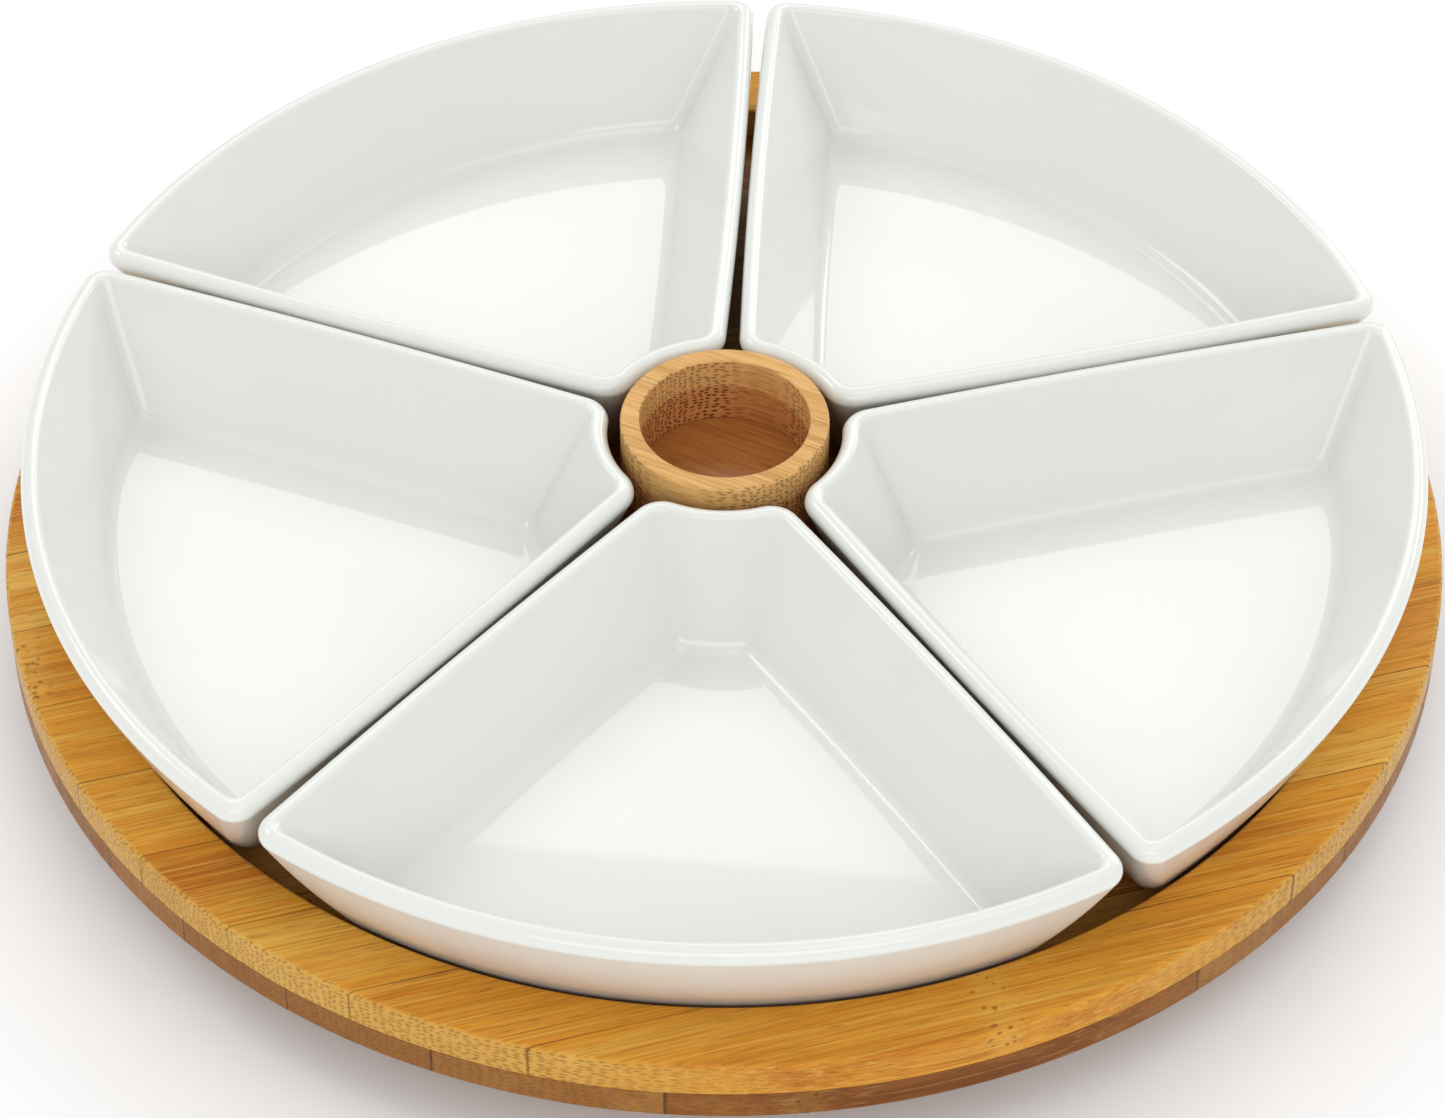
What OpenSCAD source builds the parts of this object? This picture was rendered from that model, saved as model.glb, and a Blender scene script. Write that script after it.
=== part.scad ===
// Chip and dip server: a round bamboo tray on a ball bearing turntable, with five porcelain dishes
// round a bamboo cup. Millimetres, +Z up. The origin is on the table, under the tray's axis, and
// dish 1 points along -Y. From the table up: feet, base disc, bearing, tray, dishes and cup.

/* [Tray] */
// Outer diameter of the tray
tray_d = 343; // [300:1:380]
// Thickness of the tray's lower ply, a full disc
floor_ply_t = 8.1; // [7:0.1:12]
// Thickness of the tray's upper ply, the ring round the dishes
rim_ply_t = 9.1; // [6:0.1:12]
// Width of the flat rim outside the recess
rim_w = 17.2; // [12:0.1:30]
// Rounding of the tray's edges
tray_edge_r = 1.2; // [0.5:0.1:2.5]

/* [Dishes] */
// Height of a dish from its foot to its rim
dish_h = 38.2; // [32:0.1:45]
// How far the dishes' rims stand out past the wall of the recess
dish_overhang = 10.9; // [6:0.1:12]
// Gap between the rims of two neighbouring dishes, at the ends of their sides
dish_gap = 3.2; // [2.6:0.1:6]
// How far the sides bulge halfway along, which narrows the gap there
side_bulge = 0.8; // [0:0.1:1]
// Gap between the rims of the dishes and the cup
cup_gap = 3; // [2:0.1:5]
// Plan radius of the two outer corners of a rim
outer_corner_r = 5.6; // [4:0.1:12]
// Plan radius of the two corners beside the cup
inner_corner_r = 7.6; // [5:0.1:8]
// How far the walls lean in between the rim and the foot
wall_lean = 16.4; // [16.2:0.1:18.5]
// How far the walls bulge halfway up
wall_bulge = 0.9; // [0:0.1:1]
// Rounding of the rim's outer edge
rim_edge_r = 2.8; // [1.5:0.1:2.8]
// Width of the rim, across the wall, before its inner edge is rounded
rim_t = 3.8; // [3.8:0.1:5]
// Height of the dish's inner floor above its foot
dish_floor_h = 9.2; // [6:0.1:12]
// Radius of the fillet between the floor and the walls
floor_fillet = 5; // [3:0.1:7]

/* [Cup] */
// Outer diameter of the cup
cup_d = 49.4; // [44:0.1:52]
// Diameter of the cup's bore
cup_bore_d = 40.2; // [34:0.1:42]
// Thickness of the cup's top ply
cup_ply_1_t = 8.1; // [6:0.1:12]
// Thickness of the cup's second ply
cup_ply_2_t = 10.2; // [6:0.1:12]
// Thickness of the solid block under the cup's floor
cup_block_t = 22; // [16:0.1:26]

/* [Turntable] */
// Diameter of the bamboo disc under the tray
base_d = 180; // [150:1:220]
// Thickness of the base disc
base_t = 8.1; // [7:0.1:12]
// Diameter of the bearing plates
plate_d = 104; // [100:1:120]
// Thickness of each bearing plate
plate_t = 2; // [2:0.1:3]
// Gap between the two bearing plates
plate_gap = 3; // [2.8:0.1:3.6]
// Diameter of the balls
ball_d = 4.9; // [4.6:0.1:5]
// Number of balls
ball_count = 18; // [12:1:24]
// Diameter of the circle that the balls run on
ball_pcd = 80; // [76:1:84]

/* [Feet] */
// Height of the rubber feet
foot_h = 3; // [2:0.1:6]
// Diameter of the rubber feet
foot_d = 18; // [12:1:24]
// Distance from the edge of the base disc to the middle of a foot
foot_inset = 14; // [13:1:30]

/* [Hidden] */
DISH_NODES = ["dish_1", "dish_2", "dish_3", "dish_4", "dish_5"];
FOOT_NODES = ["foot_1", "foot_2", "foot_3", "foot_4"];

$fn = 96;
eps = 0.01;
bamboo = "#d9a35b";
bamboo_dark = "#c98f48";
porcelain = "#eef0ec";
steel = "#b9bcc0";
zinc = "#d3d0c4";
nylon = "#e8e6df";
black_rubber = "#2b2b2d";

// Heights above the table
base_z = foot_h;
bearing_z = base_z + base_t;
upper_plate_z = bearing_z + plate_t + plate_gap;
tray_z = upper_plate_z + plate_t;
recess_z = tray_z + floor_ply_t;
tray_top_z = recess_z + rim_ply_t;
cup_floor_z = recess_z + cup_block_t;
cup_glue_z = cup_floor_z + cup_ply_2_t;
cup_top_z = cup_glue_z + cup_ply_1_t;

// Radii about the tray's axis
tray_r = tray_d / 2;
recess_r = tray_r - rim_w;
dish_outer_r = recess_r + dish_overhang;
dish_inner_r = cup_d / 2 + cup_gap;
cup_r = cup_d / 2;
cup_bore_r = cup_bore_d / 2;
plate_r = plate_d / 2;
dish_count = len(DISH_NODES);
sector = 360 / dish_count;
first_dish = -90;

foot_circle_r = base_d / 2 - foot_inset;

// The dish's profile. An inset is how far the outline lies inside the outline of the rim.
// The straight line under the bulge is tangent to the rounding of the rim's outer edge.
wall_angle = atan((wall_lean - rim_edge_r) / (dish_h - rim_edge_r))
    + asin(rim_edge_r / norm([wall_lean - rim_edge_r, dish_h - rim_edge_r]));
wall_top_z = dish_h - rim_edge_r * (1 + sin(wall_angle));
foot_ring_w = 4;
foot_ring_h = 2;
foot_edge_r = 1.2;
// Rounding of the rim's inner edge
lip_r = 1.6;
// The cavity's walls, from the vertical
cavity_angle = 27.7;
side_angle = sector / 2;
side_gap = dish_gap / 2;
// Plan radii of corners: of the walls at the foot, of the cavity and of the hollow under the dish
foot_outer_corner_r = 4.5;
foot_inner_corner_r = 5.5;
cavity_floor_corner_r = 2.6;
cavity_outer_corner_r = 2.8;
cavity_inner_corner_r = 4.2;
hollow_outer_corner_r = 3;
hollow_inner_corner_r = 4;
// Steps of the fine curves: the outer arc, each corner, each side, the wall, the fillet and the rim
arc_steps = 20;
corner_steps = 5;
side_steps = 6;
wall_steps = 4;
fillet_steps = 4;
rim_steps = 5;
lip_steps = 2;

// Small roundings of the cup
cup_foot_edge_r = 0.6;
cup_mouth_bevel = 0.6;
cup_top_edge_r = 0.8;

// The bearing
groove_r = ball_d / 2 + 0.1;
plate_edge_r = 0.5;
groove_play = 0.05;
rivet_r = 6;
rivet_bore_r = 4.4;
rivet_flange_r = 9;
rivet_flange_t = 0.9;
rivet_well_r = rivet_flange_r + 0.6;
rivet_well_d = 1.1;
rivet_end_play = 0.1;
running_gap = 0.05;
cage_t = 1;
cage_edge_r = 0.3;
cage_half_w = 4.5;
pocket_play = 0.15;
lower_screw_pcd = 60;
upper_screw_pcd = 60;
screw_angle = 45;
access_r = 5;

// Wood screws
plate_screw_r = 1.7;
plate_screw_len = 6.5;
plate_screw_head_r = 3.2;
plate_screw_head_h = 1.2;
screw_hole_r = 2;
cup_screw_r = 2;
cup_screw_len = 24;
cup_screw_head_r = 4;
cup_screw_head_h = 2.4;
screw_tip_r = 0.3;
screw_clearance = 0.2;
countersink_play = 0.1;
pad_edge_r = 1.2;
// A driver's square socket in each screw head
socket_w = 1.8;
socket_depth = 0.7;

// ---------- shared shapes ----------

// A disc of radius r from z0 to z1, with its lower and upper edges rounded
module eased_disc(r, z0, z1, low_r, high_r) {
    rotate_extrude() {
        difference() {
            translate([0, z0]) square([r, z1 - z0]);
            translate([r - high_r, z1 - high_r]) corner_waste(high_r, 0);
            translate([r - low_r, z0 + low_r]) corner_waste(low_r, -90);
        }
    }
}

// What is cut off a right angle to round it, turned by angle about the rounding's centre
module corner_waste(r, angle) {
    rotate(angle) difference() {
        square(r + 1);
        circle(r);
    }
}

module hole(r, z0, z1) {
    translate([0, 0, z0 - eps]) cylinder(r = r, h = z1 - z0 + 2 * eps);
}

// Copies of the children on a circle, evenly spaced from a first angle
module ring_of(count, pcd, first = 0) {
    for (i = [0 : count - 1])
        rotate(first + i * 360 / count) translate([pcd / 2, 0, 0]) children();
}

// Points on an arc, from angle a0 to angle a1
function arc(c, r, a0, a1, steps) =
    [for (i = [0 : steps]) c + r * [cos(a0 + (a1 - a0) * i / steps), sin(a0 + (a1 - a0) * i / steps)]];

// Centre of a corner's rounding: at a distance from the tray's axis, and at a distance inside the
// line through the axis along the sector's side
function corner_centre(dist, inside) =
    let (along = sqrt(dist * dist - inside * inside))
    [along * cos(side_angle) + inside * sin(side_angle),
     along * sin(side_angle) - inside * cos(side_angle)];

// ---------- tray ----------

module tray_floor_ply() color(bamboo_dark) {
    difference() {
        eased_disc(tray_r, tray_z, recess_z, tray_edge_r, eps);
        hole(cup_screw_r + screw_clearance, tray_z, recess_z);
        // countersink for the cup's screw
        translate([0, 0, tray_z - eps])
            cylinder(
                r1 = cup_screw_head_r + countersink_play,
                r2 = cup_screw_r + screw_clearance,
                h = cup_screw_head_h
            );
        // pilot holes for the upper plate's screws
        ring_of(4, upper_screw_pcd, screw_angle)
            hole(plate_screw_r, tray_z, tray_z + plate_screw_len - plate_t);
    }
}

module tray_rim_ply() color(bamboo) {
    difference() {
        eased_disc(tray_r, recess_z, tray_top_z, eps, tray_edge_r);
        hole(recess_r, recess_z, tray_top_z);
        // the eased edge of the recess
        translate([0, 0, tray_top_z - tray_edge_r])
            cylinder(r1 = recess_r, r2 = recess_r + tray_edge_r + eps, h = tray_edge_r + eps);
    }
}

// ---------- dishes ----------

// Half of a dish's outline at an inset, above the dish's centre line, which runs along +X. The
// inner end is cut straight here, and the cup's side is hollowed afterwards.
function half_outline(inset, outer_r, inner_r) =
    let (far = corner_centre(dish_outer_r - inset - outer_r, side_gap + inset + outer_r))
    let (near = corner_centre(dish_inner_r + inset + inner_r, side_gap + inset + inner_r))
    let (far_angle = atan2(far[1], far[0]))
    let (outwards = [-sin(side_angle), cos(side_angle)])
    let (start = far + outer_r * outwards)
    let (end = near + inner_r * outwards)
    concat(
        arc([0, 0], dish_outer_r - inset, 0, far_angle, arc_steps / 2),
        arc(far, outer_r, far_angle, side_angle + 90, corner_steps),
        [for (i = [1 : side_steps - 1])
            start + (end - start) * i / side_steps + outwards * side_bulge * bow(i / side_steps)],
        arc(near, inner_r, side_angle + 90, 180, corner_steps)
    );

// How far a bulge has risen at a share of its length, 1 halfway
function bow(share) = 4 * share * (1 - share);

function mirrored(points) =
    [for (i = [len(points) - 1 : -1 : 0]) [points[i][0], -points[i][1]]];

module outline(inset, outer_r, inner_r) {
    half = half_outline(inset, outer_r, inner_r);
    polygon(concat(half, mirrored(half)));
}

// A solid that narrows through levels of [height, inset, outer corner radius, inner corner radius],
// hollowed at the end that faces the cup
module tapered(levels) {
    difference() {
        hull() {
            for (level = levels)
                translate([0, 0, level[0]])
                    linear_extrude(eps) outline(level[1], level[2], level[3]);
        }
        rotate_extrude() polygon(concat(
            [[0, levels[0][0] - 1], [dish_inner_r + levels[0][1], levels[0][0] - 1]],
            [for (level = levels) [dish_inner_r + level[1], level[0]]],
            [[dish_inner_r + levels[len(levels) - 1][1], dish_h + 1], [0, dish_h + 1]]
        ));
    }
}

// How far in the outer wall is at a height above the foot
function wall_inset(z) = wall_lean - z * tan(wall_angle) - wall_bulge * bow(z / wall_top_z);

// The corners tighten towards the foot
function foot_blend(z) = z / dish_h;
function outer_r_at(z) = foot_outer_corner_r + (outer_corner_r - foot_outer_corner_r) * foot_blend(z);
function inner_r_at(z) = foot_inner_corner_r + (inner_corner_r - foot_inner_corner_r) * foot_blend(z);
function wall_level(z, extra) = [z, wall_inset(z) + extra, outer_r_at(z), inner_r_at(z)];

// The rounding of the rim's outer edge, from the wall's slope to the flat top
function rim_level(a) = [
    dish_h - rim_edge_r * (1 - sin(a)) - eps,
    rim_edge_r * (1 - cos(a)),
    outer_corner_r - rim_edge_r * (1 - cos(a)),
    inner_corner_r - rim_edge_r * (1 - cos(a))
];

// The cavity's floor, its fillet and its straight walls
function cavity_inset(z) = rim_t + (dish_h - z) * tan(cavity_angle);
fillet_start = dish_floor_h + floor_fillet * (1 - sin(cavity_angle));
fillet_centre_inset = cavity_inset(fillet_start) + floor_fillet * cos(cavity_angle);
function fillet_level(a) = [
    dish_floor_h + floor_fillet * (1 - cos(a)),
    fillet_centre_inset - floor_fillet * sin(a),
    cavity_floor_corner_r,
    cavity_floor_corner_r
];

// The rounding of the rim's inner edge: height and inset where the surface has tilted by an angle
function lip_point(tilt) = [
    dish_h - lip_r * (1 - cos(tilt)),
    rim_t - lip_r * tan((90 - cavity_angle) / 2) + lip_r * sin(tilt)
];
function lip_level(z, inset) =
    [z, inset, cavity_outer_corner_r + rim_t - inset, cavity_inner_corner_r + rim_t - inset];

// What one facet of that rounding takes away, from the facet's lower end up to the top
module lip_facet(tilt, low_tilt) {
    high = lip_point(tilt);
    low = lip_point(low_tilt);
    slope = (low[1] - high[1]) / (high[0] - low[0]);
    tapered([
        lip_level(low[0], low[1]),
        lip_level(dish_h + eps, high[1] - (dish_h - high[0]) * slope)
    ]);
}

module dish_body() {
    rim_turn = 90 + wall_angle;
    lip_turn = 90 - cavity_angle;
    difference() {
        tapered(concat(
            [wall_level(0, foot_edge_r), wall_level(foot_edge_r, 0)],
            [for (i = [1 : wall_steps - 1]) wall_level(i * wall_top_z / wall_steps, 0)],
            [for (i = [0 : rim_steps]) rim_level(i * rim_turn / rim_steps - wall_angle)]
        ));
        tapered(concat(
            [for (i = [0 : fillet_steps]) fillet_level(i * lip_turn / fillet_steps)],
            [[dish_h + eps, rim_t, cavity_outer_corner_r, cavity_inner_corner_r]]
        ));
        for (i = [1 : lip_steps])
            lip_facet((i - 1) * lip_turn / lip_steps, i * lip_turn / lip_steps);
        // the hollow inside the foot ring
        tapered([
            [-1, wall_lean + foot_ring_w, hollow_outer_corner_r, hollow_inner_corner_r],
            [foot_ring_h, wall_lean + foot_ring_w + 1, hollow_outer_corner_r, hollow_inner_corner_r]
        ]);
    }
}

module dish(number) color(porcelain) {
    rotate(first_dish + (number - 1) * sector) translate([0, 0, recess_z]) dish_body();
}

// ---------- cup ----------

module cup_block() color(bamboo_dark) {
    difference() {
        eased_disc(cup_r, recess_z, cup_floor_z, cup_foot_edge_r, eps);
        hole(cup_screw_r, recess_z, tray_z + cup_screw_len);
    }
}

module cup_lower_ring() color(bamboo) {
    difference() {
        translate([0, 0, cup_floor_z]) cylinder(r = cup_r, h = cup_ply_2_t);
        hole(cup_bore_r, cup_floor_z, cup_glue_z);
    }
}

module cup_upper_ring() color(bamboo) {
    difference() {
        eased_disc(cup_r, cup_glue_z, cup_top_z, eps, cup_top_edge_r);
        hole(cup_bore_r, cup_glue_z, cup_top_z);
        translate([0, 0, cup_top_z - cup_mouth_bevel])
            cylinder(
                r1 = cup_bore_r,
                r2 = cup_bore_r + cup_mouth_bevel + eps,
                h = cup_mouth_bevel + eps
            );
    }
}

// ---------- screws ----------

// A countersunk screw that points up, with the face of its head at z = 0
module wood_screw(r, len, head_r, head_h) {
    difference() {
        union() {
            cylinder(r1 = head_r, r2 = r, h = head_h);
            translate([0, 0, head_h]) cylinder(r = r, h = len - head_h - 2 * r);
            translate([0, 0, len - 2 * r]) cylinder(r1 = r, r2 = screw_tip_r, h = 2 * r);
        }
        translate([-socket_w / 2, -socket_w / 2, -eps]) cube([socket_w, socket_w, socket_depth]);
    }
}

module cup_screw() color(zinc) {
    translate([0, 0, tray_z + countersink_play])
        wood_screw(
            cup_screw_r,
            cup_screw_len - 2 * countersink_play,
            cup_screw_head_r - countersink_play,
            cup_screw_head_h
        );
}

module plate_screw() {
    wood_screw(plate_screw_r, plate_screw_len, plate_screw_head_r, plate_screw_head_h);
}

// Four screws up through the upper plate into the tray
module upper_plate_screws() color(zinc) {
    ring_of(4, upper_screw_pcd, screw_angle) translate([0, 0, upper_plate_z]) plate_screw();
}

// Four screws down through the lower plate into the base disc
module lower_plate_screws() color(zinc) {
    ring_of(4, lower_screw_pcd, 0)
        translate([0, 0, bearing_z + plate_t]) mirror([0, 0, 1]) plate_screw();
}

// ---------- bearing ----------

// A bearing plate that lies on z = 0. The groove and the countersinks for its screws are in the
// upper face, and the well for the rivet's flange is in the lower face.
module bearing_plate(bore_r) {
    difference() {
        eased_disc(plate_r, 0, plate_t, plate_edge_r, plate_edge_r);
        hole(bore_r, 0, plate_t);
        hole(rivet_well_r, 0, rivet_well_d - eps);
        rotate_extrude() translate([ball_pcd / 2, plate_t + plate_gap / 2]) circle(groove_r);
        ring_of(4, lower_screw_pcd, 0) {
            hole(screw_hole_r, 0, plate_t);
            translate([0, 0, plate_t - plate_screw_head_h])
                cylinder(
                    r1 = screw_hole_r,
                    r2 = plate_screw_head_r + screw_clearance,
                    h = plate_screw_head_h + eps
                );
        }
    }
}

module bearing_lower_plate() color(steel) {
    difference() {
        translate([0, 0, bearing_z]) bearing_plate(rivet_r + running_gap);
        rotate(screw_angle) translate([upper_screw_pcd / 2, 0, 0])
            hole(access_r, bearing_z, bearing_z + plate_t);
    }
}

module bearing_upper_plate() color(steel) {
    translate([0, 0, tray_z]) rotate(screw_angle) mirror([0, 0, 1])
        bearing_plate(rivet_r + running_gap);
}

// Hollow rivet: the axle, with a flange in the well of each plate
module bearing_rivet() color(zinc) {
    low_z = bearing_z + rivet_well_d;
    high_z = tray_z - rivet_well_d + rivet_end_play;
    difference() {
        union() {
            translate([0, 0, low_z - rivet_flange_t])
                cylinder(r = rivet_r, h = high_z - low_z + 2 * rivet_flange_t);
            translate([0, 0, low_z - rivet_flange_t]) cylinder(r = rivet_flange_r, h = rivet_flange_t);
            translate([0, 0, high_z]) cylinder(r = rivet_flange_r, h = rivet_flange_t);
        }
        hole(rivet_bore_r, bearing_z, tray_z);
    }
}

module ball_cage() color(nylon) {
    mid_z = bearing_z + plate_t + plate_gap / 2;
    difference() {
        eased_disc(
            ball_pcd / 2 + cage_half_w,
            mid_z - cage_t / 2,
            mid_z + cage_t / 2,
            cage_edge_r,
            cage_edge_r
        );
        hole(ball_pcd / 2 - cage_half_w, mid_z - cage_t, mid_z + cage_t);
        ring_of(ball_count, ball_pcd)
            hole(ball_d / 2 + pocket_play, mid_z - cage_t, mid_z + cage_t);
    }
}

module bearing_balls() color(steel) {
    ring_of(ball_count, ball_pcd)
        translate([0, 0, bearing_z + plate_t + plate_gap / 2]) sphere(d = ball_d - 2 * groove_play);
}

// ---------- base ----------

module base_disc() color(bamboo_dark) {
    difference() {
        eased_disc(base_d / 2, base_z, bearing_z, tray_edge_r, tray_edge_r);
        // the upper plate's screws are driven through this hole, one after another
        rotate(screw_angle) translate([upper_screw_pcd / 2, 0, 0])
            hole(access_r, base_z, bearing_z);
        ring_of(4, lower_screw_pcd, 0)
            hole(plate_screw_r, bearing_z - plate_screw_len + plate_t, bearing_z);
    }
}

// A rubber foot: a flat pad with a rounded lower edge
module foot(number) color(black_rubber) {
    rotate((number - 1) * 90) translate([foot_circle_r, 0, 0])
        eased_disc(foot_d / 2, 0, foot_h, pad_edge_r, eps);
}

tray_floor_ply();
tray_rim_ply();
for (i = [0 : dish_count - 1])
    dish(i + 1);
cup_block();
cup_lower_ring();
cup_upper_ring();
cup_screw();
bearing_upper_plate();
upper_plate_screws();
ball_cage();
bearing_balls();
bearing_lower_plate();
lower_plate_screws();
bearing_rivet();
base_disc();
for (i = [0 : len(FOOT_NODES) - 1])
    foot(i + 1);
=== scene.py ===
"""The looks of the chip and dip server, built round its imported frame.

Sizes are in millimetres in the object's own frame and become metres when a mesh is made. Every
solid is either turned from a profile or lofted through outlines, with its edges rounded.
"""
import math

import bmesh
import bpy
from mathutils import Matrix, Vector


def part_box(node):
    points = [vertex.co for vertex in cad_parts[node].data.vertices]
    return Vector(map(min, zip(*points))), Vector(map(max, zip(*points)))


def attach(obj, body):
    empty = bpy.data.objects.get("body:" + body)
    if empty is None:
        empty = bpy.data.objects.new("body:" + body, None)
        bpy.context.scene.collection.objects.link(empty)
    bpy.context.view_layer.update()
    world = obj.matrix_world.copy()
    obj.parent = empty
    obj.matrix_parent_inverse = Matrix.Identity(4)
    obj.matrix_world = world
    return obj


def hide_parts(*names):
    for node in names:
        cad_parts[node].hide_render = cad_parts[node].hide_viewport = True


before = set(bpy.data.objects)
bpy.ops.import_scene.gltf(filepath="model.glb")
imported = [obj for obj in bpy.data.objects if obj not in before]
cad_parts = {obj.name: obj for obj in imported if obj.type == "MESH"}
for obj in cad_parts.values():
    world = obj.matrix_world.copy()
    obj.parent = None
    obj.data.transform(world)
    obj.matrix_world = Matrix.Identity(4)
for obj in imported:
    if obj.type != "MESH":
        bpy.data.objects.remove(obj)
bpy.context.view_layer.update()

MM = 0.001
DISHES = 5
FEET = 4

# half of one dish's sector, and the angle between faces from which an edge is shaded sharp
SIDE = math.pi / DISHES
SHARP = math.radians(38)

# ---------- sizes that the frame gives ----------


def box_mm(node):
    """The lowest and the highest corner of a CAD node, in millimetres."""
    low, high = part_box(node)
    return low / MM, high / MM


base_low, base_high = box_mm("base_disc")
floor_low, floor_high = box_mm("tray_floor_ply")
dish_low, dish_high = box_mm("dish_1")
foot_low, foot_high = box_mm("foot_1")
block_high = box_mm("cup_block")[1]

base_z, bearing_z = base_low.z, base_high.z
tray_z, recess_z = floor_low.z, floor_high.z
tray_top_z = box_mm("tray_rim_ply")[1].z
cup_floor_z = block_high.z
cup_glue_z = box_mm("cup_lower_ring")[1].z
cup_top_z = box_mm("cup_upper_ring")[1].z
base_r, tray_r, cup_r = base_high.x, floor_high.x, block_high.x
foot_r = (foot_high.y - foot_low.y) / 2
foot_circle_r = foot_high.x - foot_r

# ---------- sizes that the frame's boxes don't show ----------

# boards, and how much their edges are rounded
recess_r = tray_r - 17.2
board_edge_r = 1.2
recess_edge_r = 1.0
tray_seam_r = 0.15

# dishes: the outline at the rim, the wall's section, and the height up to which they are bare
dish_h = dish_high.z - dish_low.z
dish_outer_r = recess_r + 10.9
dish_inner_r = cup_r + 3
side_gap = 1.6
side_bulge = 0.8
rim_corner_r = (5.6, 7.6)
foot_corner_r = (4.5, 5.5)
cavity_corner_r = (2.8, 4.2)
floor_corner_r = (2.6, 2.6)
wall_lean = 16.4
wall_bulge = 0.9
rim_edge_r = 2.8
rim_t = 3.8
lip_r = 1.6
cavity_angle = math.radians(27.7)
dish_floor_h = 9.2
floor_fillet = 5
foot_ring_w = 4
foot_ring_h = 2
bare_h = 0.05

# cup
cup_bore_r = 20.1
cup_seam_r = 0.35

# holes for the cup's screw, then for the bearing's
cup_screw_r = 2.2
sink_r = 4
sink_depth = 2.4
screw_circle_r = 30
screw_hole_r = 1.7
screw_depth = 4.5
upper_screw_angle = 45
access_r = 5

# rubber feet: a lip round a shallow hollow
foot_lip_w = 4
foot_hollow_h = 0.5

# ---------- solids ----------


def rounded(corners, closed, steps=8):
    """Points along a path of (x, z, radius) corners, with an arc at each corner that has a radius.

    A point just outside each end of an arc keeps the shading of the flat parts flat.
    """
    count = len(corners)

    def legs(i):
        """From a corner to the one before it and to the one after it."""
        here = Vector(corners[i][:2])
        return Vector(corners[i - 1][:2]) - here, Vector(corners[(i + 1) % count][:2]) - here

    def reach(i):
        """How far from a corner its arc starts."""
        if corners[i][2] == 0 or (not closed and i in (0, count - 1)):
            return 0
        before, after = legs(i)
        return corners[i][2] / math.tan(before.angle(after) / 2)

    points = []
    for i, (x, z, radius) in enumerate(corners):
        here, start = Vector((x, z)), reach(i)
        if start == 0:
            points.append(here)
            continue
        before, after = legs(i)
        back, on = before.normalized(), after.normalized()
        half = back.angle(on) / 2
        centre = here + (back + on).normalized() * radius / math.sin(half)
        first = here + back * start - centre
        turn = first.angle_signed(here + on * start - centre)
        guards = []
        for leg, other in ((before, reach(i - 1)), (after, reach((i + 1) % count))):
            room = leg.length - start - other
            guards.append(here + leg.normalized() * (start + min(start / 4, room / 3)))
        points.append(guards[0])
        for step in range(steps + 1):
            points.append(centre + Matrix.Rotation(-turn * step / steps, 2) @ first)
        points.append(guards[1])
    return points


def turned(corners, segments=192, centre=(0, 0)):
    """Points and faces of a solid turned about a vertical axis from (radius, z, rounding) corners."""
    on_axis = corners[0][0] == 0 and corners[-1][0] == 0
    profile = rounded(corners, not on_axis)
    points, faces, rings = [], [], []
    for r, z in profile:
        if r < 1e-9:
            rings.append([len(points)])
            points.append((centre[0], centre[1], z))
            continue
        rings.append(list(range(len(points), len(points) + segments)))
        for i in range(segments):
            angle = 2 * math.pi * i / segments
            points.append((centre[0] + r * math.cos(angle), centre[1] + r * math.sin(angle), z))
    pairs = list(zip(rings, rings[1:]))
    if not on_axis:
        pairs.append((rings[-1], rings[0]))
    for low, high in pairs:
        for i in range(segments):
            j = (i + 1) % segments
            lower = [low[i % len(low)], low[j % len(low)]]
            upper = [high[j % len(high)], high[i % len(high)]]
            face = list(dict.fromkeys(lower + upper))
            if len(face) > 2:
                faces.append(face)
    return points, faces


def arc(centre, radius, start, end, steps):
    """Points on an arc between two angles in radians."""
    points = []
    for i in range(steps + 1):
        angle = start + (end - start) * i / steps
        x = centre[0] + radius * math.cos(angle)
        y = centre[1] + radius * math.sin(angle)
        points.append(Vector((x, y)))
    return points


def bow(share):
    """The height of a shallow bow at a share of its length: 0 at both ends and 1 in the middle."""
    return 4 * share * (1 - share)


def corner_centre(distance, inside):
    """A corner's centre: how far from the tray's axis, and how far inside the sector's side."""
    along = math.sqrt(distance ** 2 - inside ** 2)
    return Vector((
        along * math.cos(SIDE) + inside * math.sin(SIDE),
        along * math.sin(SIDE) - inside * math.cos(SIDE),
    ))


def dish_outline(inset, corner_r):
    """A dish's outline at an inset from the rim's, with its centre line along +X.

    One half is made, from the middle of the outer end along the side to the middle of the inner
    end, and then mirrored.
    """
    outer_r, inner_r = corner_r
    far = corner_centre(dish_outer_r - inset - outer_r, side_gap + inset + outer_r)
    near = corner_centre(dish_inner_r + inset + inner_r, side_gap + inset + inner_r)
    far_angle = math.atan2(far.y, far.x)
    near_angle = math.atan2(near.y, near.x)
    normal = SIDE + math.pi / 2
    half = arc((0, 0), dish_outer_r - inset, 0, far_angle, 28)
    half += arc(far, outer_r, far_angle, normal, 12)[1:]
    near_arc = arc(near, inner_r, normal, near_angle + math.pi, 12)
    outwards, start = Vector((math.cos(normal), math.sin(normal))), half[-1]
    side_steps = 20
    for i in range(1, side_steps):
        share = i / side_steps
        half.append(start.lerp(near_arc[0], share) + outwards * side_bulge * bow(share))
    half += near_arc
    half += arc((0, 0), dish_inner_r + inset, near_angle, 0, 8)[1:]
    return half + [Vector((p.x, -p.y)) for p in half[-2:0:-1]]


def blended(low, high, share):
    """The values between two tuples, from the first at share 0 to the second at share 1."""
    return tuple(a + (b - a) * share for a, b in zip(low, high))


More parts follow.
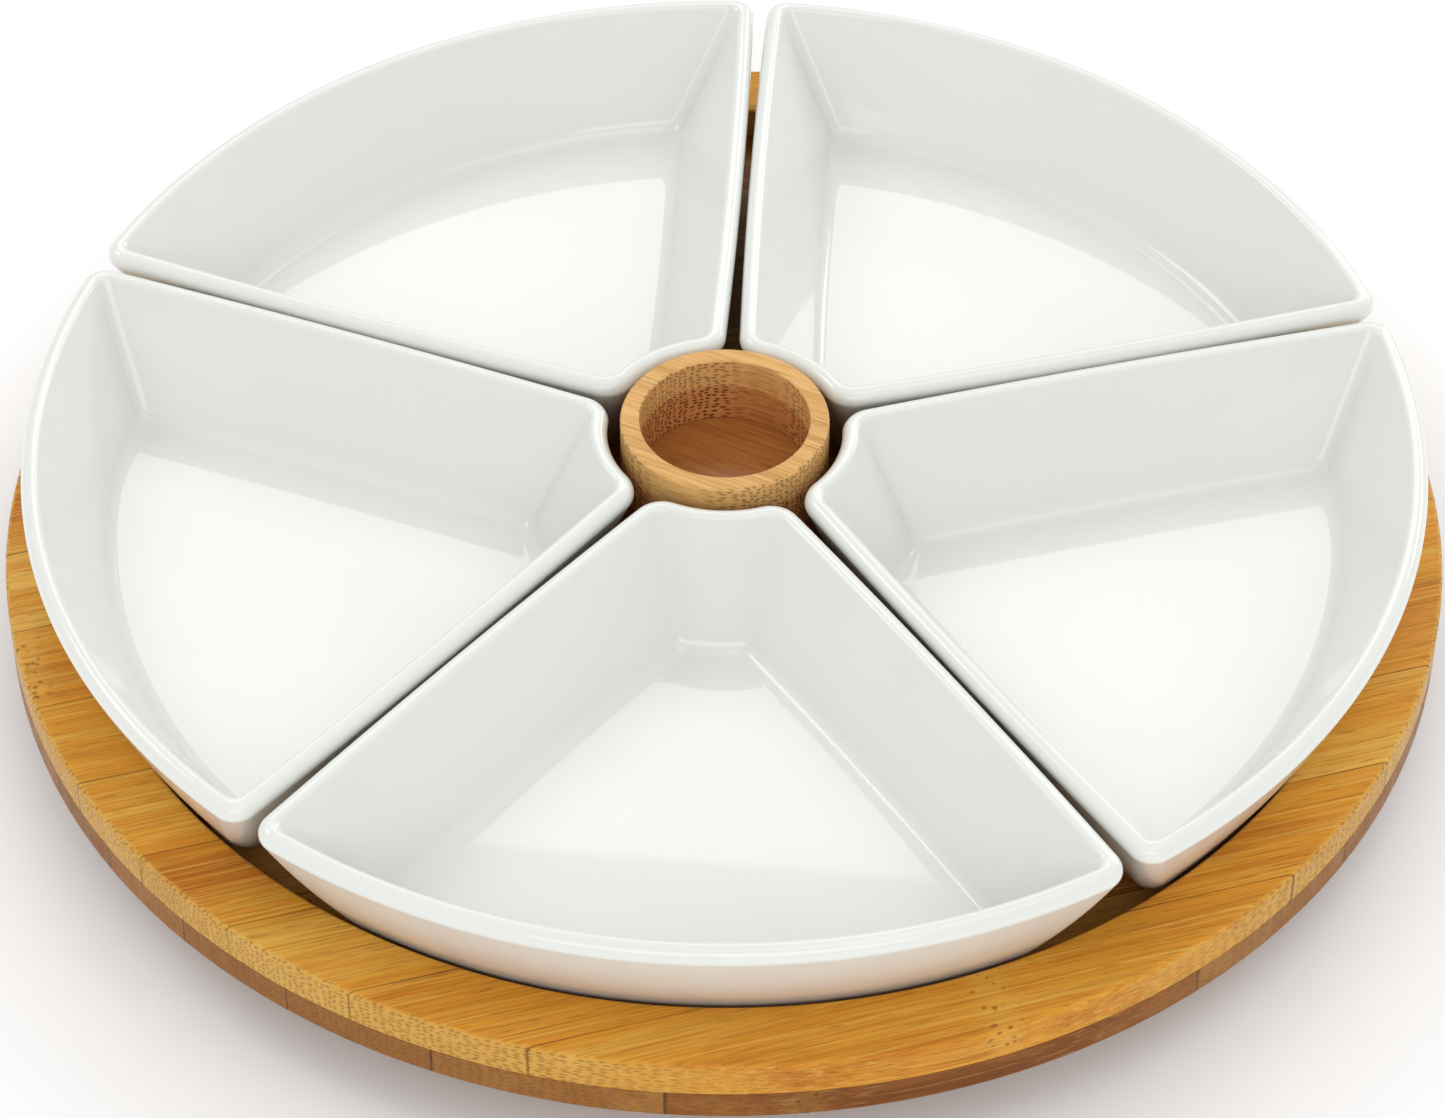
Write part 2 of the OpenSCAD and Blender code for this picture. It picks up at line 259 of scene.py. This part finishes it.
def dish_levels():
    """(inset, z, corner radii) of each outline, from the underside over the rim to the inner floor."""
    cavity_floor_inset = rim_t + (dish_h - dish_floor_h) * math.tan(cavity_angle)
    hollow_inset = wall_lean + foot_ring_w
    to_rim = Vector((dish_h - rim_edge_r, wall_lean - rim_edge_r))
    wall_angle = math.atan2(to_rim.y, to_rim.x) + math.asin(rim_edge_r / to_rim.length)
    wall_top_z = dish_h - rim_edge_r * (1 + math.sin(wall_angle))
    wall = []
    wall_steps = 10
    for i in range(1, wall_steps + 1):
        share = i / wall_steps
        straight = wall_lean - wall_top_z * share * math.tan(wall_angle)
        wall.append((straight - wall_bulge * bow(share), wall_top_z * share, 0))
    rim = arc((rim_edge_r, dish_h - rim_edge_r), -rim_edge_r, wall_angle, -math.pi / 2, 14)
    path = rounded([
        (hollow_inset + 3, foot_ring_h, 0),
        (hollow_inset + 1, foot_ring_h, 0.8),
        (hollow_inset, 0, 0.8),
        (wall_lean, 0, 1.2),
        *wall,
        *[(inset, z, 0) for inset, z in rim[1:]],
        (rim_t, dish_h, lip_r),
        (cavity_floor_inset, dish_floor_h, floor_fillet),
        (cavity_floor_inset + 6, dish_floor_h, 0),
    ], closed=False, steps=10)
    top = max(range(len(path)), key=lambda i: (path[i].y, path[i].x))
    levels = []
    for i, (inset, z) in enumerate(path):
        share = z / dish_h
        if i <= top:
            corner_r = blended(foot_corner_r, rim_corner_r, share)
            if z > dish_h - rim_edge_r:
                corner_r = tuple(r - inset for r in rim_corner_r)
        else:
            depth = (dish_h - z) / (dish_h - dish_floor_h)
            corner_r = blended(cavity_corner_r, floor_corner_r, depth)
            if inset < rim_t:
                corner_r = tuple(r + rim_t - inset for r in cavity_corner_r)
        levels.append((inset, z, corner_r))
    return levels


def dish_solid(number):
    """Points and faces of one dish in its place, and which faces are the bare foot ring."""
    turn = Matrix.Rotation(-math.pi / 2 + 2 * SIDE * (number - 1), 2)
    points, faces, bare = [], [], []
    levels = dish_levels()
    for inset, z, corner_r in levels:
        ring = [turn @ p for p in dish_outline(inset, corner_r)]
        points += [(p.x, p.y, recess_z + z) for p in ring]
    count = len(ring)
    for level in range(len(levels) - 1):
        if levels[level][1] < bare_h and levels[level + 1][1] < bare_h:
            bare += range(len(faces), len(faces) + count)
        for i in range(count):
            j = (i + 1) % count
            low, high = level * count, (level + 1) * count
            faces.append([low + i, low + j, high + j, high + i])
    faces.append(list(range(count)))
    faces.append(list(range(len(points) - count, len(points))))
    return points, faces, bare


def mesh_of(name, solids):
    """One mesh of closed solids in millimetres, with outward faces, smooth but for its sharp edges."""
    mesh = bpy.data.meshes.new(name)
    points, faces = [], []
    for solid_points, solid_faces in solids:
        faces += [[len(points) + i for i in face] for face in solid_faces]
        points += [Vector(p) * MM for p in solid_points]
    mesh.from_pydata(points, [], faces)
    shaper = bmesh.new()
    shaper.from_mesh(mesh)
    bmesh.ops.recalc_face_normals(shaper, faces=shaper.faces)
    shaper.to_mesh(mesh)
    shaper.free()
    mesh.shade_smooth()
    mesh.set_sharp_from_angle(angle=SHARP)
    return mesh


def make_piece(name, solids, materials, cutters=()):
    """A Blender object of the solids, with the cutters' solids taken away."""
    piece = bpy.data.objects.new(name, mesh_of(name, solids))
    bpy.context.collection.objects.link(piece)
    for material in materials:
        piece.data.materials.append(material)
    if cutters:
        tool = bpy.data.objects.new(name + "_cutter", mesh_of(name + "_cutter", cutters))
        bpy.context.collection.objects.link(tool)
        cut = piece.modifiers.new("holes", "BOOLEAN")
        cut.object = tool
        cut.solver = "EXACT"
        bpy.context.view_layer.update()
        whole = piece.evaluated_get(bpy.context.evaluated_depsgraph_get())
        mesh = bpy.data.meshes.new_from_object(whole)
        mesh.set_sharp_from_angle(angle=SHARP)
        piece.modifiers.clear()
        piece.data = mesh
        bpy.data.objects.remove(tool)
    return piece


def place(piece, body, slot, *nodes):
    """The piece moves with a body and stands for its CAD nodes, which are hidden. slot is not used."""
    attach(piece, body)
    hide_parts(*nodes)


# ---------- materials ----------


def linear(red, green, blue):
    """A colour given in sRGB from 0 to 255, as the shader wants it."""
    def channel(value):
        share = value / 255
        return share / 12.92 if share <= 0.04045 else ((share + 0.055) / 1.055) ** 2.4
    return (channel(red), channel(green), channel(blue), 1)


def darkened(colour, factor):
    """A colour given in sRGB, multiplied by a factor under 1, as the shader wants it."""
    return linear(*[value * factor for value in colour])


class Shader:
    """A material under construction, made one node at a time."""

    def __init__(self, name, **surface):
        self.material = bpy.data.materials.new(name)
        self.material.use_nodes = True
        self.tree = self.material.node_tree
        self.surface = self.tree.nodes["Principled BSDF"]
        for socket, value in surface.items():
            self.surface.inputs[socket.replace("_", " ")].default_value = value

    def feed(self, socket, value):
        """Links another node's output to a socket, or gives the socket a fixed value."""
        if isinstance(value, bpy.types.NodeSocket):
            self.tree.links.new(value, socket)
        else:
            socket.default_value = value

    def node(self, kind, inputs, output=0, **settings):
        """A shader node with its inputs fed and its settings made, and the output asked for."""
        node = self.tree.nodes.new("ShaderNode" + kind)
        for key, value in settings.items():
            setattr(node, key, value)
        for socket, value in inputs.items():
            self.feed(node.inputs[socket], value)
        return node.outputs[output]

    def maths(self, operation, *values):
        """One step of arithmetic on numbers and other nodes' outputs."""
        return self.node("Math", dict(enumerate(values)), operation=operation)

    def spread(self, value, start, end, low=0.0, high=1.0):
        """The value taken from start..end to low..high, easing at both ends."""
        numbers = {"Value": value, 1: start, 2: end, 3: low, 4: high}
        return self.node("MapRange", numbers, interpolation_type="SMOOTHSTEP")

    def mix(self, share, first, second):
        """A colour between two, the first at share 0 and the second at share 1."""
        colours = {0: share, 6: first, 7: second}
        return self.node("Mix", colours, output=2, data_type="RGBA", blend_type="MIX")

    def vector(self, x, y, z):
        """A point made of three numbers or outputs."""
        return self.node("CombineXYZ", {0: x, 1: y, 2: z})

    def noise(self, vector, detail=2.0, roughness=0.5):
        """Smooth noise from 0 to 1, whose patches are about 1 wide in the vector's units."""
        inputs = {"Vector": vector, "Scale": 1.0, "Detail": detail, "Roughness": roughness}
        return self.node("TexNoise", inputs)

    def cells(self, vector, randomness, dimensions="3D"):
        """How far a point is from the middle of its cell."""
        inputs = {"Vector": vector, "Scale": 1.0, "Randomness": randomness}
        return self.node("TexVoronoi", inputs, voronoi_dimensions=dimensions)

    def place_in(self, *scales):
        """The object's own coordinates in millimetres, divided by scales along X, Y and Z."""
        coords = self.node("TexCoord", {}, output="Object")
        factors = tuple(1 / (MM * s) for s in scales)
        return self.node("VectorMath", {0: coords, 1: factors}, operation="MULTIPLY")

    def bump(self, height, distance):
        """Shades the surface as if raised by height times distance, which is in millimetres."""
        inputs = {"Height": height, "Distance": distance * MM, "Strength": 1.0}
        self.feed(self.surface.inputs["Normal"], self.node("Bump", inputs, output="Normal"))

    def set(self, socket, value):
        """Feeds one input of the surface itself."""
        self.feed(self.surface.inputs[socket], value)


def bamboo(name, grain, joint, pitch, knot, dark, mid, pale, ends, dots, tones=(6.2, 0.16), coat=0.08):
    """Varnished bamboo, glued up from strips whose fibres run along one direction.

    grain is the fibres' angle to +X in degrees, joint the place of one glue joint across them and
    pitch the strips' width. knot is (strip, place along the grain) of one knot. dark, mid and pale
    are the wood's tones and ends is the colour of the cut ends. dots is how strongly the fibre
    bundles show on them. tones sets which strips are dark and by how much, and coat is how strong
    the varnish is.
    """
    # how far the fibres and the knots move from strip to strip, and how far apart the knots are
    strip_shift = 173.0
    knot_shift = 137.0
    knot_every = 320.0
    tone_step = 3.82
    bundle_w, bundle_h = 1.25, 0.95
    speck_sizes = (2.2, 1.7, 1.6)
    s = Shader(name, Coat_Weight=coat, Coat_Roughness=0.2, Specular_IOR_Level=0.12)
    coords = s.node("TexCoord", {}, output="Object")
    turned_coords = s.node(
        "VectorRotate", {"Vector": coords, "Angle": -math.radians(grain)}, rotation_type="Z_AXIS")
    in_mm = s.node("VectorMath", {0: turned_coords, "Scale": 1 / MM}, operation="SCALE")
    split = s.tree.nodes.new("ShaderNodeSeparateXYZ")
    s.feed(split.inputs[0], in_mm)
    along, across, up = split.outputs

    # each strip has its own tone and its own stretch of bamboo
    place_across = s.maths("DIVIDE", s.maths("SUBTRACT", joint, across), pitch)
    strip = s.maths("FLOOR", place_across)
    in_strip = s.maths("FRACT", place_across)
    strip_tone = s.maths("SINE", s.maths("MULTIPLY_ADD", strip, tone_step, tones[0]))
    own_along = s.maths("MULTIPLY_ADD", strip, strip_shift, along)

    def scaled(start, sizes):
        """A point along, across and up the grain, divided by a size in millimetres each way."""
        pairs = zip((start, across, up), sizes)
        return s.vector(*[s.maths("DIVIDE", value, size) for value, size in pairs])

    def fibre(length, width, thickness, **noise):
        """Noise in patches of a length along the grain, a width across it and a thickness."""
        return s.noise(scaled(own_along, (length, width, thickness)), **noise)

    broad = fibre(180, 14, 20)
    medium = fibre(70, 3.2, 5, detail=3)
    fine = fibre(22, 0.42, 0.5, detail=3, roughness=0.6)
    short = fibre(9, 0.5, 0.6, detail=1)

    # fibre bundles: lines along the grain, dots where they are cut across
    sway = s.maths("MULTIPLY_ADD", fibre(60, 9, 9), 2.4, -1.2)
    bundle_point = s.vector(
        s.maths("DIVIDE", s.maths("ADD", across, sway), bundle_w),
        s.maths("DIVIDE", s.maths("ADD", up, sway), bundle_h),
        0,
    )
    bundle = s.spread(s.cells(bundle_point, 0.55, "2D"), 0.44, 0.16)
    bundle = s.maths("MULTIPLY", bundle, s.spread(fibre(26, 2.6, 2.6), 0.28, 0.42))

    # how squarely the surface cuts the fibres
    normal = s.node("TexCoord", {}, output="Normal")
    grain_axis = (math.cos(math.radians(grain)), math.sin(math.radians(grain)), 0)
    facing = s.node(
        "VectorMath", {0: normal, 1: grain_axis}, output="Value", operation="DOT_PRODUCT")
    cross_cut = s.spread(s.maths("ABSOLUTE", facing), 0.12, 0.6)

    # the wood's tone, from pale through mid to dark
    tone = s.maths("MULTIPLY_ADD", strip_tone, tones[1], 0.5)
    tone = s.maths("ADD", tone, s.maths("MULTIPLY_ADD", broad, 0.9, -0.45))
    tone = s.maths("ADD", tone, s.maths("MULTIPLY_ADD", medium, 0.7, -0.35))
    lighter = s.mix(s.spread(tone, 0.05, 0.5), linear(*pale), linear(*mid))
    colour = s.mix(s.spread(tone, 0.5, 0.95), lighter, linear(*dark))

    # fine streaks on the faces along the grain, some golden and some dark
    along_grain = s.spread(cross_cut, 0, 1, 1, 0.2)
    golden = s.maths("MULTIPLY", s.spread(fibre(60, 0.9, 0.9, detail=2), 0.5, 0.68), 0.5)
    colour = s.mix(s.maths("MULTIPLY", golden, along_grain), colour, linear(*pale))
    streak = s.maths("MAXIMUM", s.spread(fine, 0.52, 0.7), s.spread(short, 0.6, 0.72))
    streak = s.maths("MULTIPLY", s.maths("MULTIPLY", streak, along_grain), 0.5)
    colour = s.mix(streak, colour, darkened(dark, 0.82))

    # the cut ends have a colour of their own, with the bundles as dots
    colour = s.mix(s.maths("MULTIPLY", cross_cut, 0.7), colour, linear(*ends))
    seen = s.maths("MULTIPLY", bundle, s.spread(cross_cut, 0, 1, dots * 0.3, dots))
    colour = s.mix(seen, colour, darkened(dark, 0.62))

    # a knot: a paler band with dark specks
    knot_strip, knot_along = knot
    strips_off = s.maths("SUBTRACT", strip, knot_strip)
    shifted = s.maths("MULTIPLY_ADD", strips_off, -knot_shift, along)
    past_knot = s.maths("ADD", shifted, knot_every / 2 - knot_along)
    past_knot = s.maths("FLOORED_MODULO", past_knot, knot_every)
    from_knot = s.maths("SUBTRACT", past_knot, knot_every / 2)
    wobble = s.maths("MULTIPLY_ADD", fibre(20, 3, 5), 6, -3)
    from_knot = s.maths("ABSOLUTE", s.maths("ADD", from_knot, wobble))
    band = s.spread(from_knot, 6.5, 1.5)
    speck = s.spread(s.cells(scaled(along, speck_sizes), 1.0), 0.4, 0.15)
    colour = s.mix(s.maths("MULTIPLY", band, 0.25), colour, linear(*pale))
    speck = s.maths("MULTIPLY", s.maths("MULTIPLY", speck, band), 0.7)
    colour = s.mix(speck, colour, darkened(dark, 0.66))

    # thin dark glue joints
    to_side = s.maths("MINIMUM", in_strip, s.maths("SUBTRACT", 1.0, in_strip))
    to_joint = s.maths("MULTIPLY", to_side, pitch)
    line = s.spread(to_joint, 0.28, 0.08)
    glue = s.maths("MULTIPLY", line, s.spread(fibre(40, 30, 30), 0.35, 0.6, 0.25, 0.8))
    colour = s.mix(glue, colour, darkened(dark, 0.45))

    # gloss and relief follow the grain
    s.set("Base Color", colour)
    s.set("Roughness", s.spread(medium, 0.2, 0.8, 0.34, 0.5))
    relief = s.maths("ADD", s.maths("MULTIPLY", fine, 0.4), s.maths("MULTIPLY", bundle, -0.5))
    relief = s.maths("ADD", relief, s.maths("MULTIPLY", glue, -0.8))
    s.bump(relief, 0.06)
    return s.material


def glazed_porcelain():
    """White porcelain under a clear glaze that lies a little unevenly."""
    s = Shader(
        "porcelain_glazed", Roughness=0.32, IOR=1.5, Specular_IOR_Level=0.3,
        Coat_Weight=1.0, Coat_Roughness=0.03, Coat_IOR=1.5)
    cloud = s.noise(s.place_in(60, 60, 60), detail=2)
    s.set("Base Color", s.mix(cloud, linear(228, 231, 225), linear(232, 234, 229)))
    waves = s.noise(s.place_in(26, 26, 26), detail=1)
    ripples = s.noise(s.place_in(7, 7, 7), detail=1)
    s.bump(s.maths("MULTIPLY_ADD", ripples, 0.12, waves), 0.8)
    return s.material


def bare_porcelain():
    """The unglazed foot that a dish stands on in the kiln."""
    s = Shader("porcelain_bare", Specular_IOR_Level=0.25)
    grain = s.noise(s.place_in(0.5, 0.5, 0.5), detail=3)
    s.set("Base Color", s.mix(grain, linear(214, 207, 194), linear(232, 227, 217)))
    s.set("Roughness", s.spread(grain, 0.3, 0.7, 0.75, 0.9))
    s.bump(grain, 0.08)
    return s.material


def plated_steel(name, first, second, roughness, scale):
    """Plated or polished steel, whose tone and gloss change from patch to patch."""
    s = Shader(name, Metallic=1.0)
    patches = s.noise(s.place_in(scale, scale, scale), detail=3)
    scratches = s.noise(s.place_in(0.25, 6, 6), detail=2)
    s.set("Base Color", s.mix(patches, linear(*first), linear(*second)))
    s.set("Roughness", s.spread(patches, 0.3, 0.7, roughness, roughness + 0.14))
    s.bump(s.maths("MULTIPLY_ADD", scratches, 0.3, patches), 0.03)
    return s.material


def moulded(name, first, second, roughness, grain_size, depth):
    """Nylon or rubber with a fine moulded texture."""
    s = Shader(name)
    grain = s.noise(s.place_in(grain_size, grain_size, grain_size), detail=3)
    cloud = s.noise(s.place_in(9, 9, 9), detail=2)
    s.set("Base Color", s.mix(cloud, linear(*first), linear(*second)))
    s.set("Roughness", s.spread(grain, 0.3, 0.7, roughness, roughness + 0.12))
    s.bump(grain, depth)
    return s.material


honey = {"dark": (184, 102, 26), "mid": (216, 148, 46), "pale": (228, 182, 84), "ends": (208, 166, 84)}
rim_wood = bamboo("bamboo_rim", grain=20, joint=-17.3, pitch=25.94, knot=(5, 12), dots=0.5, **honey)
floor_wood = bamboo(
    "bamboo_floor", grain=20, joint=-4.2, pitch=26, knot=(2, 60), dots=0.35, tones=(3.78, 0.3),
    dark=(118, 62, 18), mid=(148, 94, 34), pale=(172, 124, 60), ends=(152, 100, 44))
base_wood = bamboo("bamboo_base", grain=0, joint=13, pitch=26, knot=(1, 40), dots=0.5, **honey)
cup_wood = bamboo(
    "bamboo_cup", grain=-24, joint=40, pitch=80, knot=(3, 0), dots=0.7,
    dark=(186, 126, 62), mid=(222, 172, 104), pale=(236, 194, 132), ends=(222, 176, 112))
cup_wood_low = bamboo(
    "bamboo_cup_low", grain=-24, joint=44, pitch=88, knot=(3, 30), dots=1.0,
    dark=(170, 104, 54), mid=(200, 136, 78), pale=(218, 162, 104), ends=(206, 146, 88))
block_wood = bamboo(
    "bamboo_block", grain=-24, joint=44, pitch=88, knot=(3, 60), dots=0.6, coat=0.4,
    dark=(140, 80, 34), mid=(172, 110, 52), pale=(190, 130, 68), ends=(176, 116, 58))
porcelain = glazed_porcelain()
biscuit = bare_porcelain()
plate_steel = plated_steel("steel_plate", (196, 199, 204), (176, 180, 187), 0.28, 2.5)
zinc = plated_steel("zinc_plate", (222, 216, 196), (203, 200, 190), 0.24, 1.2)
ball_steel = plated_steel("ball_steel", (214, 216, 220), (204, 207, 212), 0.06, 4)
nylon = moulded("nylon", (228, 225, 214), (219, 216, 204), 0.42, 0.35, 0.03)
rubber = moulded("rubber", (38, 38, 40), (46, 46, 47), 0.66, 0.3, 0.06)

# ---------- tray ----------


def bored(radius, angle, low_z, high_z):
    """A cutter for a hole on the circle of the bearing's screws, at an angle in degrees."""
    turn = math.radians(angle)
    centre = (screw_circle_r * math.cos(turn), screw_circle_r * math.sin(turn))
    profile = [(0, low_z, 0), (radius, low_z, 0), (radius, high_z, 0), (0, high_z, 0)]
    return turned(profile, 48, centre)


def make_tray():
    """The lower board, which is the recess's floor, and the ring glued on it."""
    lower = make_piece("tray_lower_board", [turned([
        (sink_r, tray_z, 0),
        (tray_r, tray_z, board_edge_r),
        (tray_r, recess_z, tray_seam_r),
        (cup_screw_r, recess_z, 0),
        (cup_screw_r, tray_z + sink_depth, 0),
    ], segments=360)], [floor_wood], [
        bored(screw_hole_r, upper_screw_angle + 90 * i, tray_z - 1, tray_z + screw_depth)
        for i in range(4)
    ])
    place(lower, "tray", "bamboo_floor", "tray_floor_ply")
    upper = make_piece("tray_upper_ring", [turned([
        (recess_r, recess_z, tray_seam_r),
        (tray_r, recess_z, tray_seam_r),
        (tray_r, tray_top_z, board_edge_r),
        (recess_r, tray_top_z, recess_edge_r),
    ], segments=360)], [rim_wood])
    place(upper, "tray", "bamboo_rim", "tray_rim_ply")


# ---------- dishes ----------


def make_dishes():
    """The five dishes, glazed all over but for the ring that they stand on."""
    for number in range(1, DISHES + 1):
        points, faces, bare = dish_solid(number)
        dish = make_piece(f"porcelain_dish_{number}", [(points, faces)], [porcelain, biscuit])
        for face in bare:
            dish.data.polygons[face].material_index = 1
        place(dish, f"dish_{number}_body", "porcelain", f"dish_{number}")


# ---------- cup ----------


def make_cup():
    """The cup's three glued plies: the block under its floor and two rings of its wall."""
    block = make_piece("cup_block_turned", [turned([
        (0, recess_z, 0),
        (cup_r, recess_z, 0.6),
        (cup_r, cup_floor_z, cup_seam_r),
        (0, cup_floor_z, 0),
    ])], [block_wood])
    place(block, "tray", "bamboo_cup", "cup_block")
    lower = make_piece("cup_middle_ring", [turned([
        (cup_bore_r, cup_floor_z, cup_seam_r),
        (cup_r, cup_floor_z, cup_seam_r),
        (cup_r, cup_glue_z, cup_seam_r),
        (cup_bore_r, cup_glue_z, cup_seam_r),
    ])], [cup_wood_low])
    place(lower, "tray", "bamboo_cup", "cup_lower_ring")
    upper = make_piece("cup_top_ring", [turned([
        (cup_bore_r, cup_glue_z, cup_seam_r),
        (cup_r, cup_glue_z, cup_seam_r),
        (cup_r, cup_top_z, 0.8),
        (cup_bore_r, cup_top_z, 0.6),
    ])], [cup_wood])
    place(upper, "tray", "bamboo_cup", "cup_upper_ring")


# ---------- turntable ----------


def make_base():
    """The disc under the bearing, with its screws' holes, and the four feet."""
    disc = make_piece("turntable_base", [turned([
        (0, base_z, 0),
        (base_r, base_z, board_edge_r),
        (base_r, bearing_z, board_edge_r),
        (0, bearing_z, 0),
    ], segments=256)], [base_wood], [
        bored(access_r, upper_screw_angle, base_z - 1, bearing_z + 1),
    ] + [
        bored(screw_hole_r, 90 * i, bearing_z - screw_depth, bearing_z + 1)
        for i in range(4)
    ])
    place(disc, "base", "bamboo_base", "base_disc")
    for number in range(1, FEET + 1):
        turn = 2 * math.pi / FEET * (number - 1)
        centre = (foot_circle_r * math.cos(turn), foot_circle_r * math.sin(turn))
        foot = make_piece(f"rubber_foot_{number}", [turned([
            (0, foot_hollow_h, 0),
            (foot_r - foot_lip_w - 1, foot_hollow_h, 0.3),
            (foot_r - foot_lip_w, 0, 0.4),
            (foot_r, 0, 1.2),
            (foot_r, base_z, 0.1),
            (0, base_z, 0),
        ], 72, centre)], [rubber])
        place(foot, "base", "foot_rubber", f"foot_{number}")


def dress(node, material):
    """Gives a CAD node that stays in view a finish of its own."""
    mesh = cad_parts[node].data
    mesh.materials.clear()
    mesh.materials.append(material)


make_tray()
make_dishes()
make_cup()
make_base()
for node in ("bearing_upper_plate", "bearing_lower_plate"):
    dress(node, plate_steel)
for node in ("upper_plate_screws", "lower_plate_screws", "bearing_rivet", "cup_screw"):
    dress(node, zinc)
dress("bearing_balls", ball_steel)
dress("ball_cage", nylon)

# ---------- stage, light and camera ----------


def make_floor():
    """The pale floor that the server stands on. Its reach is in metres."""
    mesh = bpy.data.meshes.new("floor")
    reach = 6.0
    corners = [(-reach, -reach, 0), (reach, -reach, 0), (reach, reach, 0), (-reach, reach, 0)]
    mesh.from_pydata(corners, [], [(0, 1, 2, 3)])
    floor = bpy.data.objects.new("floor", mesh)
    bpy.context.collection.objects.link(floor)
    s = Shader("floor_pale", Roughness=0.9, Specular_IOR_Level=0.1)
    s.set("Base Color", linear(255, 255, 255))
    mesh.materials.append(s.material)


def soft_light(name, direction, distance, width, height, radiance):
    """A rectangular light that faces the dishes from a direction. Its sizes are in metres."""
    data = bpy.data.lights.new(name, "AREA")
    data.shape = "RECTANGLE"
    data.size = width
    data.size_y = height
    data.energy = radiance * math.pi * width * height
    light = bpy.data.objects.new(name, data)
    towards = Vector(direction).normalized()
    light.location = towards * distance
    light.rotation_euler = towards.to_track_quat("Z", "Y").to_euler()
    bpy.context.collection.objects.link(light)


def make_world(strength):
    """Even white light from all round."""
    world = bpy.data.worlds.new("studio")
    world.use_nodes = True
    background = world.node_tree.nodes["Background"]
    background.inputs["Color"].default_value = (1, 1, 1, 1)
    background.inputs["Strength"].default_value = strength
    bpy.context.scene.world = world


def make_camera(target, distance, azimuth, elevation, roll, lens):
    """A camera that looks at a point from a distance in metres.

    azimuth is the angle to the right of -Y, elevation the angle above the floor and roll the turn
    about the line of sight, all in degrees.
    """
    az, el = math.radians(azimuth), math.radians(elevation)
    towards = Vector((math.sin(az) * math.cos(el), -math.cos(az) * math.cos(el), math.sin(el)))
    data = bpy.data.cameras.new("camera")
    data.lens = lens
    data.sensor_width = 36
    data.clip_end = 50
    camera = bpy.data.objects.new("camera", data)
    turn = towards.to_track_quat("Z", "Y").to_matrix().to_4x4()
    turn = turn @ Matrix.Rotation(math.radians(roll), 4, "Z")
    camera.matrix_world = Matrix.Translation(Vector(target) + towards * distance) @ turn
    bpy.context.collection.objects.link(camera)
    bpy.context.scene.camera = camera


make_floor()
make_world(0.78)
# name, direction, distance, width, height and radiance
for light in (
    ("light_front", (0.05, -0.8, 0.6), 1.9, 1.6, 0.8, 1.6),
    ("light_back", (0.03, 0.72, 0.69), 1.9, 1.6, 0.5, 1.8),
    ("light_left", (-0.66, 0.24, 0.71), 1.7, 0.5, 0.4, 3.2),
    ("light_right_low", (0.6, 0.72, 0.4), 1.7, 1.0, 0.3, 3.2),
    ("light_top", (0.25, -0.2, 0.95), 1.8, 0.8, 0.8, 0.9),
):
    soft_light(*light)
make_camera(
    target=(-0.0005, 0.0021, 0.0181), distance=1.1406, azimuth=3.14, elevation=44.2, roll=0.27,
    lens=117.0)
bpy.context.scene.view_settings.view_transform = "Standard"
